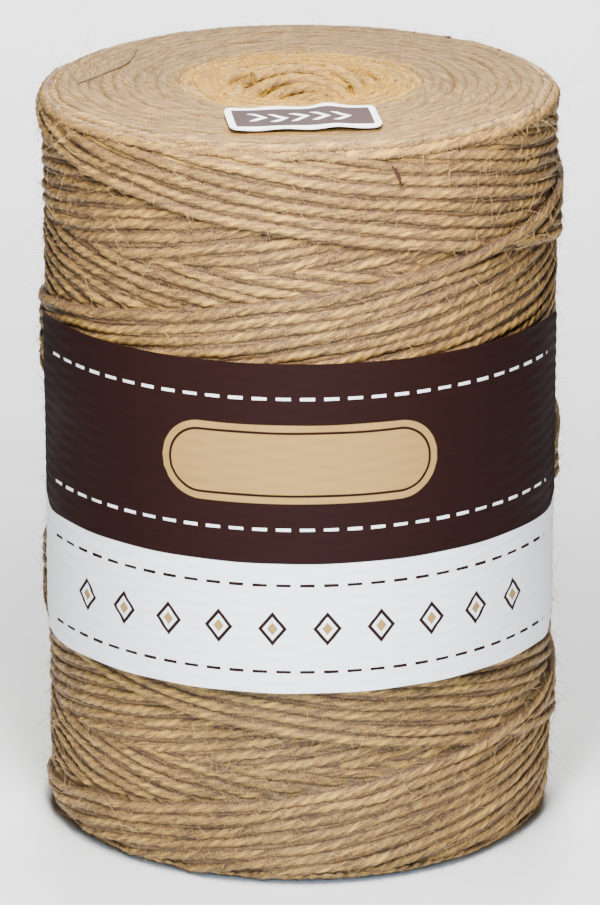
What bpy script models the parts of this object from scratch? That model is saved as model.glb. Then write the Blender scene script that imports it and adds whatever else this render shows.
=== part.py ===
"""A roll of jute twine, wound criss-cross on itself and standing on its end, with two paper labels.

The twine climbs and falls round the roll in two families of strands that cross at a shallow angle.
Where two strands cross, the one that was wound last lies on top, so the side shows long wedges of
parallel strands, each with a raised edge where the newest strand lies.  Metres, +Z up.  The origin
is the middle of the flat foot, and the front label faces -Y.
"""

import math

import bmesh
import bpy

# The roll
ROLL_RADIUS = 0.060
FACE_HEIGHT = 0.1716
TOP_SHOULDER = 0.0058
FOOT_SHOULDER = 0.0070

# The winding: one climb of the twine is LEAD for each turn, and STRANDS fill it side by side
LEAD = 0.0576
STRANDS = 20
STEP_HEIGHT = LEAD / (2 * STRANDS)
COLUMNS = 2 * STRANDS
NEWEST_CROSSING_DEG = 41.0
NEWEST_CROSSING_HEIGHT = 0.1442
LAYER_FALL = 0.0012
GROOVE_DEPTH = 0.0012

# The centre hollow, from which the twine is pulled
HOLLOW_RADIUS = 0.0160
HOLLOW_LIP = 0.0030
HOLLOW_FLOOR_RADIUS = 0.0100
HOLLOW_DEPTH = 0.0130

# The turns that show on the end face, as low rings
FACE_RING_COUNT = 8
FACE_RING_RELIEF = 0.0004
FACE_LEVEL = FACE_HEIGHT - FACE_RING_RELIEF

# The labels
PAPER = 0.0010
CLEARANCE = 0.0003
BAND_HALF_ANGLE_DEG = 70.4
BAND_BOTTOM = 0.0477
BAND_TOP = 0.1237
BAND_FOOT_CORNER = 0.0060
BAND_COLUMNS = 36
BAND_CORNER_COLUMNS = 5
TAG_WIDTH = 0.0332
TAG_DEPTH = 0.0186
TAG_CORNER = 0.0022
TAG_CORNER_STEPS = 4
TAG_CENTRE = (0.0006, -0.0366)
TAG_TURN_DEG = 6.0

CREASE_DEG = 35.0

JUTE_COLOUR = (0.485, 0.328, 0.156, 1.0)
BROWN_PAPER_COLOUR = (0.052, 0.019, 0.015, 1.0)
WHITE_PAPER_COLOUR = (0.80, 0.82, 0.84, 1.0)


def clear_scene():
    """Remove every object of the scene."""
    for old in list(bpy.data.objects):
        bpy.data.objects.remove(old, do_unlink=True)


def make_material(name, colour, roughness):
    """A plain finish."""
    material = bpy.data.materials.new(name)
    material.use_nodes = True
    shader = material.node_tree.nodes["Principled BSDF"]
    shader.inputs["Base Color"].default_value = colour
    shader.inputs["Roughness"].default_value = roughness
    shader.inputs["Metallic"].default_value = 0.0
    material.diffuse_color = colour
    return material


def make_object(name, shape, material, crease_deg):
    """Turn a bmesh into an object with one finish, smooth but for creases past an angle."""
    bmesh.ops.recalc_face_normals(shape, faces=shape.faces)
    mesh = bpy.data.meshes.new(name)
    shape.to_mesh(mesh)
    shape.free()
    mesh.materials.append(material)
    mesh.shade_smooth()
    mesh.set_sharp_from_angle(angle=math.radians(crease_deg))
    thing = bpy.data.objects.new(name, mesh)
    bpy.context.scene.collection.objects.link(thing)
    return thing


def around(angle, radius, height):
    """A point of the roll: angle 0 is the front, and it grows towards +X."""
    return (radius * math.sin(angle), -radius * math.cos(angle), height)


# ---------------------------------------------------------------------------------------------
# The winding pattern.  The side is a lattice of lozenges, one for each crossing of two strands.
# Lattice point (column, row) has column + row even, and a lozenge's centre has them odd.
# ---------------------------------------------------------------------------------------------

def lattice_angle(column):
    return math.radians(NEWEST_CROSSING_DEG) + column * math.pi / STRANDS


def lattice_height(row):
    return NEWEST_CROSSING_HEIGHT + row * STEP_HEIGHT


def strand_ages(column, row):
    """How many strands were wound after the climbing and after the falling one of a lozenge."""
    climbing = ((column - row - 1) // 2) % STRANDS
    falling = ((column + row - 1) // 2) % STRANDS
    return climbing, falling


def climbing_on_top(column, row):
    climbing, falling = strand_ages(column, row)
    return climbing <= falling


def crest_radius(column, row):
    """The radius of the strand on top of a lozenge: it is lower where both strands are old."""
    climbing, falling = strand_ages(column, row)
    return ROLL_RADIUS - LAYER_FALL * (climbing + falling) / STRANDS


def groove_radius(column, row):
    """The radius of a lattice point, which lies in the groove between the strands around it."""
    nearby = ((column - 1, row), (column + 1, row), (column, row - 1), (column, row + 1))
    return min(crest_radius(*cell) for cell in nearby) - GROOVE_DEPTH


class Lattice:
    """The side's vertices, made once each and shared by the lozenges around them."""

    def __init__(self, shape):
        self.shape = shape
        self.corners = {}
        self.crests = {}

    def corner(self, column, row):
        key = (column % COLUMNS, row)
        if key not in self.corners:
            place = around(lattice_angle(column), groove_radius(column, row), lattice_height(row))
            self.corners[key] = self.shape.verts.new(place)
        return self.corners[key]

    def crest(self, first, second, radius):
        """The vertex where a strand crosses the side between two lattice points."""
        key = self.side(first, second)
        if key not in self.crests:
            angle = (lattice_angle(first[0]) + lattice_angle(second[0])) / 2
            height = (lattice_height(first[1]) + lattice_height(second[1])) / 2
            self.crests[key] = self.shape.verts.new(around(angle, radius, height))
        return self.crests[key]

    def side(self, first, second):
        return frozenset(((first[0] % COLUMNS, first[1]), (second[0] % COLUMNS, second[1])))


def lozenge_corners(column, row):
    """Left, bottom, right and top lattice points of a lozenge."""
    return (column - 1, row), (column, row - 1), (column + 1, row), (column, row + 1)


def crossed_sides(column, row):
    """The two sides that a lozenge's top strand crosses, each with the lozenge beyond it."""
    left, bottom, right, top = lozenge_corners(column, row)
    if climbing_on_top(column, row):
        return ((left, bottom, (column - 1, row - 1)), (right, top, (column + 1, row + 1)))
    return ((left, top, (column - 1, row + 1)), (right, bottom, (column + 1, row - 1)))


def add_crests(lattice, column, row):
    """A strand keeps its height into a lozenge of its own family, and dives under the other."""
    here = crest_radius(column, row)
    for first, second, beyond in crossed_sides(column, row):
        if climbing_on_top(*beyond) == climbing_on_top(column, row):
            radius = (here + crest_radius(*beyond)) / 2
        else:
            radius = (groove_radius(*first) + groove_radius(*second)) / 2
        lattice.crest(first, second, radius)


def fan(shape, rim):
    """Triangles from the first vertex of a rim to the others."""
    for place in range(1, len(rim) - 1):
        shape.faces.new((rim[0], rim[place], rim[place + 1]))


def with_crest(lattice, first, second):
    """The vertices of a side from its first point, with the crest that lies on it, if any."""
    verts = [lattice.corner(*first)]
    crest = lattice.crests.get(lattice.side(first, second))
    if crest is not None:
        verts.append(crest)
    return verts


def add_lozenge(lattice, column, row):
    """Two slopes that meet on the strand's crest."""
    left, bottom, right, top = lozenge_corners(column, row)
    loop = []
    for first, second in ((left, bottom), (bottom, right), (right, top), (top, left)):
        loop.extend(with_crest(lattice, first, second))
    ends = []
    for first, second, _beyond in crossed_sides(column, row):
        ends.append(loop.index(lattice.crests[lattice.side(first, second)]))
    start, stop = sorted(ends)
    for half in (loop[start:stop + 1], loop[stop:] + loop[:start + 1]):
        if climbing_on_top(column, row):
            half = half[-1:] + half[:-1]
        fan(lattice.shape, half)


def add_side(shape, low_row, high_row):
    """The side between two rows of the lattice, and the straight ring that closes each end."""
    lattice = Lattice(shape)
    cells = []
    for row in range(low_row + 1, high_row):
        for column in range(COLUMNS):
            if (column + row) % 2 == 1:
                cells.append((column, row))
    for cell in cells:
        add_crests(lattice, *cell)
    for cell in cells:
        add_lozenge(lattice, *cell)
    return (straight_ring(lattice, low_row, low_row + 1), straight_ring(lattice, high_row, high_row - 1))


def straight_ring(lattice, edge_row, inner_row):
    """Fill the zigzag of the last lozenges up to a ring at the edge row."""
    shape = lattice.shape
    ring = []
    for column in range(COLUMNS):
        if (column + edge_row) % 2 == 0:
            ring.append(lattice.corner(column, edge_row))
        else:
            radius = groove_radius(column, inner_row)
            place = around(lattice_angle(column), radius, lattice_height(edge_row))
            ring.append(shape.verts.new(place))
    for column in range(COLUMNS):
        if (column + edge_row) % 2 == 0:
            continue
        valley = (column, inner_row)
        for neighbour in (column - 1, column + 1):
            tip = (neighbour, edge_row)
            rim = [ring[column]] + with_crest(lattice, tip, valley) + [lattice.corner(*valley)]
            fan(shape, rim)
    return ring


# ---------------------------------------------------------------------------------------------
# The ends of the roll
# ---------------------------------------------------------------------------------------------

def lofted_ring(shape, profile_radius, height, blend_from=None, share=0.0):
    """A ring of the lattice's columns, partly keeping the unevenness of the ring it starts from."""
    ring = []
    for column in range(COLUMNS):
        radius = profile_radius
        if blend_from is not None:
            start = blend_from[column].co
            radius += share * (math.hypot(start.x, start.y) - ROLL_RADIUS)
        ring.append(shape.verts.new(around(lattice_angle(column), radius, height)))
    return ring


def join_rings(shape, first, second):
    """A band of triangles between two rings of equal count."""
    for place in range(COLUMNS):
        after = (place + 1) % COLUMNS
        shape.faces.new((first[place], first[after], second[place]))
        shape.faces.new((first[after], second[after], second[place]))


def shoulder_profile(radius, shoulder, level, outward, steps):
    """Points of a quarter round from the side of the roll to its end face."""
    points = []
    for step in range(1, steps + 1):
        turn = step / steps * math.pi / 2
        across = radius - shoulder + shoulder * math.cos(turn)
        points.append((across, level + outward * shoulder * (math.sin(turn) - 1)))
    return points


def end_face_profile():
    """The low rings of the top face, from the shoulder to the lip of the hollow."""
    outer = ROLL_RADIUS - TOP_SHOULDER
    inner = HOLLOW_RADIUS + HOLLOW_LIP
    points = []
    for ring in range(1, FACE_RING_COUNT + 1):
        across = outer + (inner - outer) * ring / FACE_RING_COUNT
        relief = FACE_RING_RELIEF if ring % 2 == 1 else -FACE_RING_RELIEF
        points.append((across, FACE_LEVEL + relief))
    return points


def hollow_profile(steps):
    """The soft wall of the hollow, from its lip down to the floor."""
    points = []
    for step in range(1, steps + 1):
        share = step / steps
        across = HOLLOW_FLOOR_RADIUS + (HOLLOW_RADIUS - HOLLOW_FLOOR_RADIUS) * math.cos(share * math.pi / 2)
        points.append((across, FACE_LEVEL - HOLLOW_DEPTH * share))
    return points


def build_roll():
    """The wound body, in one piece."""
    shape = bmesh.new()
    low_row = math.ceil((FOOT_SHOULDER - NEWEST_CROSSING_HEIGHT) / STEP_HEIGHT)
    high_row = math.floor((FACE_LEVEL - TOP_SHOULDER - NEWEST_CROSSING_HEIGHT) / STEP_HEIGHT)
    low_ring, high_ring = add_side(shape, low_row, high_row)

    top = shoulder_profile(ROLL_RADIUS, TOP_SHOULDER, FACE_LEVEL, 1, steps=4)
    previous = high_ring
    for step, (across, height) in enumerate(top):
        ring = lofted_ring(shape, across, height, high_ring, 1 - (step + 1) / len(top))
        join_rings(shape, previous, ring)
        previous = ring
    for across, height in end_face_profile() + hollow_profile(steps=4):
        ring = lofted_ring(shape, across, height)
        join_rings(shape, previous, ring)
        previous = ring
    shape.faces.new(previous)

    foot = shoulder_profile(ROLL_RADIUS, FOOT_SHOULDER, 0.0, -1, steps=4)
    previous = low_ring
    for step, (across, height) in enumerate(foot):
        ring = lofted_ring(shape, across, height, low_ring, 1 - (step + 1) / len(foot))
        join_rings(shape, ring, previous)
        previous = ring
    shape.faces.new(list(reversed(previous)))
    return make_object("twine_roll", shape, make_material("jute", JUTE_COLOUR, 0.9), CREASE_DEG)


# ---------------------------------------------------------------------------------------------
# The labels
# ---------------------------------------------------------------------------------------------

def band_columns():
    """The band's columns as (distance along the front, lowest height), with its round foot corners."""
    radius = ROLL_RADIUS + CLEARANCE
    half = radius * math.radians(BAND_HALF_ANGLE_DEG)
    columns = []
    for step in range(BAND_CORNER_COLUMNS + 1):
        turn = step / BAND_CORNER_COLUMNS * math.pi / 2
        inset = BAND_FOOT_CORNER * (1 - math.cos(turn))
        columns.append((-half + inset, BAND_BOTTOM + BAND_FOOT_CORNER * (1 - math.sin(turn))))
    straight = half - BAND_FOOT_CORNER
    for step in range(1, BAND_COLUMNS):
        columns.append((-straight + 2 * straight * step / BAND_COLUMNS, BAND_BOTTOM))
    mirrored = [(-along, low) for along, low in reversed(columns[:BAND_CORNER_COLUMNS + 1])]
    return columns + mirrored


def build_front_label():
    """The curved label on the front of the roll."""
    shape = bmesh.new()
    inner_radius = ROLL_RADIUS + CLEARANCE
    loops = []
    for along, low in band_columns():
        angle = along / inner_radius
        corners = ((inner_radius, low), (inner_radius + PAPER, low),
                   (inner_radius + PAPER, BAND_TOP), (inner_radius, BAND_TOP))
        loops.append([shape.verts.new(around(angle, radius, height)) for radius, height in corners])
    for here, after in zip(loops, loops[1:]):
        for place in range(4):
            following = (place + 1) % 4
            shape.faces.new((here[place], after[place], after[following], here[following]))
    shape.faces.new(loops[0])
    shape.faces.new(list(reversed(loops[-1])))
    return make_object("front_label", shape, make_material("brown_paper", BROWN_PAPER_COLOUR, 0.45), CREASE_DEG)


def build_top_label():
    """The small flat label on the end face, between the hollow and the front edge."""
    shape = bmesh.new()
    turn = math.radians(TAG_TURN_DEG)
    low = FACE_LEVEL + FACE_RING_RELIEF + CLEARANCE
    outline = []
    for across, deep, start in ((1, 1, 0), (-1, 1, 1), (-1, -1, 2), (1, -1, 3)):
        middle_x = across * (TAG_WIDTH / 2 - TAG_CORNER)
        middle_y = deep * (TAG_DEPTH / 2 - TAG_CORNER)
        for step in range(TAG_CORNER_STEPS + 1):
            swing = (start + step / TAG_CORNER_STEPS) * math.pi / 2
            flat_x = middle_x + TAG_CORNER * math.cos(swing)
            flat_y = middle_y + TAG_CORNER * math.sin(swing)
            outline.append((TAG_CENTRE[0] + flat_x * math.cos(turn) - flat_y * math.sin(turn),
                            TAG_CENTRE[1] + flat_x * math.sin(turn) + flat_y * math.cos(turn)))
    base = shape.faces.new([shape.verts.new((x, y, low)) for x, y in outline])
    raised = bmesh.ops.extrude_face_region(shape, geom=[base])
    lifted = [item for item in raised["geom"] if isinstance(item, bmesh.types.BMVert)]
    bmesh.ops.translate(shape, verts=lifted, vec=(0, 0, PAPER))
    return make_object("top_label", shape, make_material("white_paper", WHITE_PAPER_COLOUR, 0.45), CREASE_DEG)


def main():
    clear_scene()
    build_roll()
    build_front_label()
    build_top_label()


main()
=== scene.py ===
import math
import random

import bpy
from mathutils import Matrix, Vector


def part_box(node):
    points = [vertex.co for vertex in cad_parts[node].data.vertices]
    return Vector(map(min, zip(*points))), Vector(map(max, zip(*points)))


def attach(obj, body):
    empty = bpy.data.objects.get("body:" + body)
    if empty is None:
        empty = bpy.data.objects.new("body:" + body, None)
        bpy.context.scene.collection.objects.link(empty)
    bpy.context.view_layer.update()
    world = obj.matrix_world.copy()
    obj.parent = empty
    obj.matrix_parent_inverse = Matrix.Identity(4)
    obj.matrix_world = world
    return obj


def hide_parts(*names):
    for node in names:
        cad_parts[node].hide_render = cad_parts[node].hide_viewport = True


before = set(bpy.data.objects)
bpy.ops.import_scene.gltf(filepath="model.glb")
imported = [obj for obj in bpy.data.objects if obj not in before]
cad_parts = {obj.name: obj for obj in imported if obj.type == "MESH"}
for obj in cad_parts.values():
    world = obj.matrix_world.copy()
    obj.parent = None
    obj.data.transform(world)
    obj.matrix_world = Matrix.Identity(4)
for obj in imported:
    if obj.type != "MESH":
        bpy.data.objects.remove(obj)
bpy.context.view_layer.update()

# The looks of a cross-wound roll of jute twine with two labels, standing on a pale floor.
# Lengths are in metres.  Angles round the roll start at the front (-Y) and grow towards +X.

# --- Sizes: the roll's height and the labels' places come from the frame ---

FACE_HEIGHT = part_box("twine_roll")[1][2]
band_low, band_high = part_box("front_label")
tag_low, tag_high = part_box("top_label")

MM = 0.001
ROLL_RADIUS = 0.060
TOP_SHOULDER = 0.0058
FOOT_SHOULDER = 0.0070
# How far the strands of the side run on round each shoulder
TOP_RUN_ON = 0.0046
FOOT_RUN_ON = 0.0056

# The winding: the twine climbs LEAD in a turn, and STRANDS lie side by side in that climb
LEAD = 0.0576
STRANDS = 20
STEP_HEIGHT = LEAD / (2 * STRANDS)
STEP_ANGLE = math.pi / STRANDS
STEP_LENGTH = math.hypot(STEP_HEIGHT, ROLL_RADIUS * STEP_ANGLE)
NEWEST_CROSSING = math.radians(41.0)
NEWEST_CROSSING_HEIGHT = 0.1442
LAYER_FALL = 0.0012

# The twine: three plies, pressed a little flat against the roll
PLIES = 3
TWINE_WIDTH = 0.00278
TWINE_THICKNESS = 0.00236
TWINE_LAY = -0.0094

# A strand of the side: how it dives under others and at the edges, and how it strays from its place
DIVE_DEPTH = 0.0014
DIVE_REACH = 0.60
EDGE_DIVE = 0.0011
RUN_HIDDEN_END = 0.95
POINT_SPACING = 0.25
WANDER_UP = (0.00038, 0.045)
WANDER_OUT = (0.00010, 0.03)
STRAND_SINK = 0.00035
STRAND_SHIFT = 0.00022
STRETCH_TINT = 0.25
LONGEST_START = 3.0
SPARE_PERIODS = 8
# The waves of a drift: their sizes and rates, as shares of the reach and the rate that are asked for
WAVES = 3
WAVE_SIZES = (0.3, 0.6)
WAVE_RATES = (0.6, 1.6)

# The turns on the end faces
RING_SPACING = 0.00245
ARC_POINT_SPACING = 0.0022
ARC_FLAT_SHARE = 0.62
ARC_DRIFT_WAVE = 0.04
PRESSED_THICKNESS = 0.0012
PRESSED_WIDTH = 0.0037
LOOSE_THICKNESS = 0.0017
SHOULDER_THICKNESS = 0.0014
SHOULDER_WIDTH = 0.0032
FOOT_INNER_RADIUS = 0.046
FOOT_RING_START = 0.0062
# How an arc differs from an even one: its place and half its span, as shares of an even arc's length,
# how much lower it lies and how far it is off the radius of its ring
ARC_SHIFT = 0.2
ARC_HALF_SPANS = (0.72, 0.95)
ARC_LOWERING = 0.00014
ARC_RADIUS_SPREAD = 0.0004

HOLLOW_RADIUS = 0.0160
HOLLOW_LIP = 0.0030
HOLLOW_MOUTH_RADIUS = HOLLOW_RADIUS + 0.0008
HOLLOW_FLOOR_RADIUS = 0.0100
HOLLOW_DEPTH = 0.0130
WALL_TURNS = 6
# The tilt of its wall's turns at the mouth, and how much more it is further down, in half turns
WALL_TILT = 0.58
WALL_TILT_GAIN = 0.30
FLOOR_RING_RADII = (0.0086, 0.0062, 0.0038)
FLOOR_RING_LIFT = (0.0012, 0.0022)
NEST_INNER_RADIUS = HOLLOW_RADIUS + 0.0022
NEST_RADIUS = 0.0265

# The layer beneath, which shows between the strands
UNDER_GAP = 0.00080
UNDER_STRAND = 0.00185
CORE_COLUMNS = 132
CORE_ROWS = 290
CORE_LOW = 0.0045
CORE_HIGH = FACE_HEIGHT - TOP_SHOULDER * 0.5
# Its rings at the foot: how far in from the side, and how high
CORE_FOOT_RINGS = ((0.0085, 0.0006), (0.0053, 0.0010), (0.0035, 0.0022))
CORE_TOP_RADII = (ROLL_RADIUS - TOP_SHOULDER, 0.045, 0.030, HOLLOW_RADIUS + HOLLOW_LIP)
# How far it lies under the top, and out of and below the turns of the hollow's wall
CORE_TOP_GAP = 0.0006
CORE_WALL_GAPS = (0.0014, 0.0010)
# How much painted shade darkens it, on the side and on the top
CORE_PAINTED_SHADE = (0.70, 0.20)

# The labels: the larger one's width is measured round the roll at BAND_RADIUS
BAND_RADIUS = ROLL_RADIUS + 0.0003
BAND_HALF_ANGLE = math.radians(70.4)
BAND_WIDTH = 2 * BAND_RADIUS * BAND_HALF_ANGLE
BAND_HEIGHT = band_high[2] - band_low[2]
BAND_FOOT_CORNER = 0.0060
BAND_COLOUR_LINE = 0.0779
BAND_LIFT = 0.00075
BAND_THICKNESS = 0.00035
BAND_RIPPLE = 0.00006
BAND_SAG = 0.000105
COVERED_MARGIN = 0.006
BACK_LIMIT = math.cos(math.radians(104))

TAG_SIZE = (0.0332, 0.0186)
TAG_CORNER = 0.0022
TAG_TURN = math.radians(6.0)
TAG_LIFT = 0.0004
TAG_THICKNESS = 0.0003
TAG_BUCKLE = 0.00022
TAG_BUCKLE_RATES = (520, 260)
TAG_CREASE = 0.00035
TAG_CREASE_PLACE = 0.006
TAG_CREASE_WIDTH = 0.003

# How near the top face a place counts as on it
TOP_REACH = 0.004

# The faces that bear loose fibres: how far they face outwards, how high they are, and how far from a
# label.  Those nearer to it than LONG_CLEARANCE bear short ones.
LEAST_FACING = 0.3
LOWEST_ROOT = 0.003
LABEL_CLEARANCE = 0.0022
NEST_CLEARANCE = 0.0040
LONG_CLEARANCE = 0.0085
RIM_REACH = 0.003
# The nest of curly fibres: its edge, how far that strays, and how deep it goes
NEST_EDGE = NEST_RADIUS - 0.0005
NEST_EDGE_SPREAD = 0.0012
NEST_DEPTH = 0.020
# How sharply the way out turns from up to sideways near the rim
RIM_SHARPNESS = 20
# How a loose fibre bends, as shares of its length: sideways at most, down, and down for its lift
SIDE_BEND = 0.9
DOWN_BEND = 0.06
LIFT_BEND = 0.55
# How rare long fibres are, and how much thinner their tips are
LENGTH_SKEW = 2.2
HAIR_TAPER = 0.65

rng = random.Random(7)


# --- Node trees ---

def is_vector(value):
    """Whether a value is three numbers, or an output that carries a vector or a colour."""
    if isinstance(value, Value):
        return value.socket.type in ("VECTOR", "RGBA")
    return isinstance(value, tuple)


def by_node(operation):
    """A method of an output that gives the result of a new node."""
    return lambda self, *others: self.tree.calc(operation, self, *others)


class Value:
    """An output of a node.  A sum with it adds the node that does the sum."""

    def __init__(self, tree, socket):
        self.tree = tree
        self.socket = socket

    __add__ = by_node("ADD")
    __sub__ = by_node("SUBTRACT")
    __truediv__ = by_node("DIVIDE")
    __pow__ = by_node("POWER")
    __lt__ = by_node("LESS_THAN")
    __abs__ = by_node("ABSOLUTE")

    def __rsub__(self, other):
        return self.tree.calc("SUBTRACT", other, self)

    def __mul__(self, other):
        if is_vector(self) and not is_vector(other):
            return self.tree.add("ShaderNodeVectorMath", {0: self, "Scale": other}, operation="SCALE")[0]
        return self.tree.calc("MULTIPLY", self, other)

    def remap(self, low, high, new_low=0.0, new_high=1.0):
        """The value taken from one range to another, and clamped."""
        return self.tree.add("ShaderNodeMapRange", {0: self, 1: low, 2: high, 3: new_low, 4: new_high})[0]

    def parts(self):
        """The three parts of a vector."""
        return self.tree.add("ShaderNodeSeparateXYZ", {0: self})

    def bearing(self):
        """The angle of a vector round Z."""
        parts = self.parts()
        return self.tree.calc("ARCTAN2", parts[1], parts[0])


class Outputs:
    """The outputs of a node, by name or place."""

    def __init__(self, tree, sockets):
        self.tree = tree
        self.sockets = sockets

    def __getitem__(self, key):
        return Value(self.tree, self.sockets[key])


class Tree:
    """A node tree that is being made."""

    def __init__(self, data):
        self.data = data

    def set(self, socket, value):
        """Link an output to a socket, or set a plain value."""
        if isinstance(value, Value):
            self.data.links.new(value.socket, socket)
        else:
            socket.default_value = (*value, 1.0) if socket.type == "RGBA" else value

    def add(self, kind, values=None, **settings):
        """The outputs of a new node, with its settings and, by name or place, its input values."""
        made = self.data.nodes.new(kind)
        for name, setting in settings.items():
            setattr(made, name, setting)
        for key, value in (values or {}).items():
            self.set(made.inputs[key], value)
        return Outputs(self, made.outputs)

    def shape(self, kind, values=None, **settings):
        """The first output of a new node that works on geometry."""
        return self.add("GeometryNode" + kind, values, **settings)[0]

    def calc(self, operation, *values):
        """The result of a Math node, or of a Vector Math node where the first value is a vector."""
        kind = "ShaderNodeVectorMath" if is_vector(values[0]) else "ShaderNodeMath"
        made = self.add(kind, dict(enumerate(values)), operation=operation)
        return made["Value" if operation in ("DOT_PRODUCT", "LENGTH") else 0]

    def combine(self, x, y, z=0.0):
        """A vector of three values."""
        return self.add("ShaderNodeCombineXYZ", {0: x, 1: y, 2: z})[0]

    def place_on_object(self):
        """The place of a shaded point, in the object's own coordinates."""
        return self.add("ShaderNodeTexCoord")["Object"]

    def noise(self, vector, scale, detail, **more):
        """The outputs of a noise texture."""
        return self.add("ShaderNodeTexNoise", {"Vector": vector, "Scale": scale, "Detail": detail, **more})

    def blend(self, share, first, second, kind="MIX"):
        """A mix of two colours, which are inputs 6 and 7 and output 2 of the node."""
        values = {0: share, 6: first, 7: second}
        return self.add("ShaderNodeMix", values, data_type="RGBA", blend_type=kind)[2]

    def position(self):
        """The places of the points of a geometry."""
        return self.shape("InputPosition")

    def named(self, name, kind="FLOAT"):
        """An attribute of a geometry."""
        return self.shape("InputNamedAttribute", {"Name": name}, data_type=kind)

    def store(self, geometry, name, value):
        """A geometry with a value kept on its points."""
        values = {"Geometry": geometry, "Name": name, "Value": value}
        kind = "FLOAT_VECTOR" if is_vector(value) else "FLOAT"
        return self.shape("StoreNamedAttribute", values, data_type=kind)

    def move(self, geometry, **values):
        """A geometry with its points moved to a position or by an offset."""
        return self.shape("SetPosition", {"Geometry": geometry, **values})

    def circle(self, points, radius):
        """A ring of points as a curve."""
        return self.shape("CurvePrimitiveCircle", {"Resolution": points, "Radius": radius})

    def sweep(self, curve, profile, scale):
        """The closed mesh of a profile that is drawn along curves."""
        values = {"Curve": curve, "Profile Curve": profile, "Scale": scale, "Fill Caps": True}
        return self.shape("CurveToMesh", values)

    def give(self, **values):
        """Make these values the outputs of the group, which is then whole."""
        for name, value in values.items():
            kind = "Geometry" if value.socket.type == "GEOMETRY" else "Float"
            self.data.interface.new_socket(name, in_out="OUTPUT", socket_type="NodeSocket" + kind)
        last = self.data.nodes.new("NodeGroupOutput")
        for name, value in values.items():
            self.set(last.inputs[name], value)
        return self.data

    def give_mesh(self, mesh, finish, leftovers):
        """Make a mesh the output, without the attributes that are no longer needed, smooth and finished."""
        for name in leftovers:
            mesh = self.shape("RemoveAttribute", {"Geometry": mesh, "Name": name})
        mesh = self.shape("SetShadeSmooth", {"Geometry": mesh, "Shade Smooth": True})
        mesh = self.shape("RealizeInstances", {"Geometry": mesh})
        mesh = self.shape("SetMaterial", {"Geometry": mesh, "Material": finish})
        return self.give(Mesh=mesh)


def new_group(name, kind, inputs):
    """A node group with named inputs: each has its default, or the word for its type where it has none."""
    data = bpy.data.node_groups.new(name, kind)
    for label, default in inputs.items():
        has_default = not isinstance(default, str)
        word = {int: "Int", float: "Float"}[type(default)] if has_default else default
        socket = data.interface.new_socket(label, in_out="INPUT", socket_type="NodeSocket" + word)
        if has_default:
            socket.default_value = default
    tree = Tree(data)
    return tree, Outputs(tree, data.nodes.new("NodeGroupInput").outputs)


# --- Shared shader groups ---

def stretched_noise(tree, coordinates, along, across, detail, seed):
    """Noise drawn out along X: along and across are the sizes of its grain in metres."""
    fine = tree.calc("DIVIDE", 1.0, across)
    scaled = coordinates * tree.combine(tree.calc("DIVIDE", 1.0, along), fine, fine)
    return tree.noise(scaled + (seed, seed * 1.7, seed * 0.6), 1.0, detail, Roughness=0.6)["Fac"]


def make_fibre_group():
    """Streaks, flecks and a height for plant fibre that runs along X of its coordinates."""
    tree, given = new_group(
        "fibre_grain", "ShaderNodeTree",
        {"Coordinates": "Vector", "Fibre Length": 0.006, "Fibre Width": 0.0002, "Fleck Share": 0.3})
    where, length, width = given["Coordinates"], given["Fibre Length"], given["Fibre Width"]
    fine = stretched_noise(tree, where, length, width, 2.0, 3.1)
    coarse = stretched_noise(tree, where, length * 1.3, width * 3.2, 2.0, 9.4)
    patch = stretched_noise(tree, where, 0.018, 0.004, 2.0, 21.0)
    fleck = stretched_noise(tree, where, length * 0.8, width * 3.4, 1.0, 40.0)
    bark = stretched_noise(tree, where, length, width * 4.0, 1.0, 77.0)
    streak = fine * 0.5 + coarse * 0.5
    edge = 0.80 - given["Fleck Share"] * 0.3
    return tree.give(Streak=streak.remap(0.41, 0.59), Patch=patch.remap(0.40, 0.60),
                     Fleck=fleck.remap(edge, edge + 0.07), Bark=bark.remap(0.745, 0.78), Height=streak)


def make_fuzz_group():
    """Fine pale fibres that cross the surface in several directions, as a mask."""
    tree, given = new_group(
        "fine_fuzz", "ShaderNodeTree",
        {"Coordinates": "Vector", "Fibre Length": 0.003, "Spacing": 0.0007, "Line Share": 0.034})
    mask = 0.0
    for turn, seed in (((0.5, 0.9, 0.3), 5.0), ((-0.7, -0.6, 1.1), 17.0), ((1.2, 0.2, -0.9), 31.0)):
        rotated = tree.add("ShaderNodeVectorRotate", {"Vector": given["Coordinates"], "Rotation": turn},
                           rotation_type="EULER_XYZ")[0]
        lines = stretched_noise(tree, rotated, given["Fibre Length"], given["Spacing"], 1.0, seed)
        near = (abs(lines - 0.5) / given["Line Share"]).remap(0.25, 0.7, 1.0, 0.0)
        mask = tree.calc("MAXIMUM", near, mask)
    return tree.give(Mask=mask)


def make_box_group():
    """How far a point is outside a box with round corners; it is below zero inside."""
    tree, given = new_group(
        "round_box", "ShaderNodeTree",
        {"Across": 0.0, "Up": 0.0, "Centre Up": 0.0, "Half Width": 1.0, "Half Height": 1.0, "Corner": 0.5})
    offsets = (abs(given["Across"]), abs(given["Up"] - given["Centre Up"]))
    beyond = [tree.calc("MAXIMUM", offset - (given[half] - given["Corner"]), 0.0)
              for offset, half in zip(offsets, ("Half Width", "Half Height"))]
    square = beyond[0] * beyond[0] + beyond[1] * beyond[1]
    return tree.give(Distance=tree.calc("SQRT", square) - given["Corner"])


def make_dash_group():
    """A row of dashes: 1 on a dash and 0 elsewhere."""
    tree, given = new_group(
        "dash_row", "ShaderNodeTree",
        {"Across": 0.0, "Up": 0.0, "Row Height": 0.0, "Pitch": 0.006, "Dash Share": 0.6,
         "Half Thickness": 0.0004})
    on_dash = tree.calc("FRACT", given["Across"] / given["Pitch"]) < given["Dash Share"]
    in_row = abs(given["Up"] - given["Row Height"]) < given["Half Thickness"]
    return tree.give(Mask=on_dash * in_row)


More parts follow.
